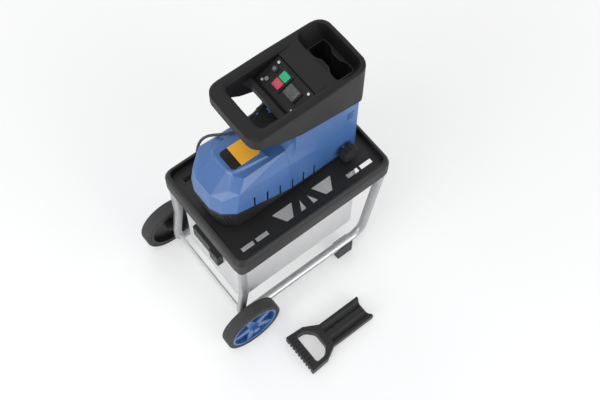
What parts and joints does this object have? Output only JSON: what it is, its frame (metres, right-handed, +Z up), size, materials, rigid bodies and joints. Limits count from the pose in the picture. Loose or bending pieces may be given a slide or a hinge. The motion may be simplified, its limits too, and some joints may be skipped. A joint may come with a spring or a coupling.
{
  "type": "garden shredder",
  "caption": "Electric garden shredder: feed head with handle loop over a blue motor housing, on a wheeled tube frame with a slide-out collection box and a loose plunger.",
  "frame": {"origin": "floor plane, under the middle of the base tray", "axes": "+X from the wheel end to the foot end, +Y to the side away from the plunger, +Z up"},
  "size_m": [0.652, 0.691, 0.915],
  "materials": {
    "charcoal_plastic": "fine grained moulding",
    "blue_plastic": "satin moulding",
    "white_plastic": "satin moulding",
    "galvanised_tube": "galvanised",
    "steel": "machined",
    "cast_alloy": "cast",
    "copper_windings": "enamelled wire on laminations",
    "tyre_rubber": "moulded",
    "amber_label": "plain label film",
    "dark_label": "plain label film",
    "grey_plastic": "satin moulding",
    "clear_lens": "clear cap",
    "green_plastic": "satin moulding",
    "red_plastic": "satin moulding",
    "cord_rubber": "matt"
  },
  "bodies": {
    "machine": {"base_tray": "charcoal_plastic", "feed_head": "charcoal_plastic", "base_housing": "charcoal_plastic", "near_rail_foot": "charcoal_plastic", "far_rail_foot": "charcoal_plastic", "axle_spacers": "charcoal_plastic", "feed_chute": "charcoal_plastic", "chip_chute": "charcoal_plastic", "near_box_runner": "charcoal_plastic", "far_box_runner": "charcoal_plastic", "rear_panel": "charcoal_plastic", "control_panel": "charcoal_plastic", "switch_base": "charcoal_plastic", "cord_gland": "charcoal_plastic", "axle_caps": "blue_plastic", "motor_cover": "blue_plastic", "column_housing": "blue_plastic", "near_side_frame": "galvanised_tube", "far_side_frame": "galvanised_tube", "axle": "steel", "cover_screws": "steel", "panel_screws": "steel", "lock_stud": "steel", "guide_pins": "steel", "motor_bearings": "steel", "roller_bearings": "steel", "motor_can": "cast_alloy", "gearbox_case": "cast_alloy", "motor_stator": "copper_windings", "label_plate": "amber_label", "rating_plate": "dark_label", "selector_bezel": "grey_plastic", "reset_collar": "grey_plastic", "indicator_lens": "clear_lens", "mains_cord": "cord_rubber", "mains_plug": "cord_rubber"},
    "near_wheel": {"near_tyre": "tyre_rubber", "near_wheel_hub": "blue_plastic"},
    "far_wheel": {"far_tyre": "tyre_rubber", "far_wheel_hub": "blue_plastic"},
    "box": {"collection_box": "white_plastic", "box_grip": "charcoal_plastic"},
    "lock": {"lock_knob": "charcoal_plastic"},
    "adjuster": {"adjusting_knob": "charcoal_plastic", "adjusting_screw": "steel"},
    "plate": {"pressure_plate": "steel"},
    "start": {"start_button": "green_plastic"},
    "stop": {"stop_button": "red_plastic"},
    "rocker": {"direction_rocker": "charcoal_plastic"},
    "reset": {"reset_button": "charcoal_plastic"},
    "rotor": {"motor_rotor": "steel", "motor_fan": "charcoal_plastic", "motor_pinion": "steel"},
    "layshaft": {"layshaft": "steel", "intermediate_gear": "steel"},
    "roller": {"cutter_roller": "steel", "final_gear": "steel"},
    "plunger": {"plunger": "charcoal_plastic"}
  },
  "joints": [
    {"name": "near_wheel_spin", "type": "hinge", "parent": "machine", "child": "near_wheel", "pos_m": [-0.275, -0.21, 0.097], "axis": [0, 1, 0], "continuous": true},
    {"name": "far_wheel_spin", "type": "hinge", "parent": "machine", "child": "far_wheel", "pos_m": [-0.275, 0.21, 0.097], "axis": [0, 1, 0], "continuous": true},
    {"name": "box_slide", "type": "slide", "parent": "machine", "child": "box", "axis": [-1, 0, 0], "range_m": [0, 0.45]},
    {"name": "lock_turn", "type": "hinge", "parent": "machine", "child": "lock", "pos_m": [-0.039, 0, 0.75], "axis": [0, 0, 1], "range_deg": [0, 360]},
    {"name": "adjuster_turn", "type": "hinge", "parent": "machine", "child": "adjuster", "pos_m": [0.185, -0.1, 0.501], "axis": [0, 1, 0], "range_deg": [0, 720]},
    {"name": "plate_slide", "type": "slide", "parent": "machine", "child": "plate", "axis": [0, 1, 0], "range_m": [0, 0.0025]},
    {"name": "start_press", "type": "slide", "parent": "machine", "child": "start", "axis": [0.4384, 0, -0.8988], "range_m": [0, 0.003], "stiffness_N_per_m": 600},
    {"name": "stop_press", "type": "slide", "parent": "machine", "child": "stop", "axis": [0.4384, 0, -0.8988], "range_m": [0, 0.003], "stiffness_N_per_m": 600},
    {"name": "reset_press", "type": "slide", "parent": "machine", "child": "reset", "axis": [0.4384, 0, -0.8988], "range_m": [0, 0.003], "stiffness_N_per_m": 600},
    {"name": "rocker_tilt", "type": "hinge", "parent": "machine", "child": "rocker", "pos_m": [0.03221, -0.03, 0.88275], "axis": [0.8988, 0, 0.4384], "range_deg": [-12, 12]},
    {"name": "rotor_spin", "type": "hinge", "parent": "machine", "child": "rotor", "pos_m": [-0.1, -0.00918, 0.56357], "axis": [1, 0, 0], "continuous": true},
    {"name": "layshaft_spin", "type": "hinge", "parent": "machine", "child": "layshaft", "pos_m": [0, 0.01592, 0.5994], "axis": [1, 0, 0], "continuous": true},
    {"name": "roller_spin", "type": "hinge", "parent": "machine", "child": "roller", "pos_m": [0.16, 0, 0.54], "axis": [1, 0, 0], "continuous": true},
    {"name": "plunger_lift", "type": "slide", "parent": "machine", "child": "plunger", "axis": [0, 0, 1], "range_m": [0, 0.3]}
  ],
  "couplings": [
    {"joint": "layshaft_spin", "follows": "rotor_spin", "ratio": -0.16667},
    {"joint": "roller_spin", "follows": "rotor_spin", "ratio": 0.023148}
  ]
}
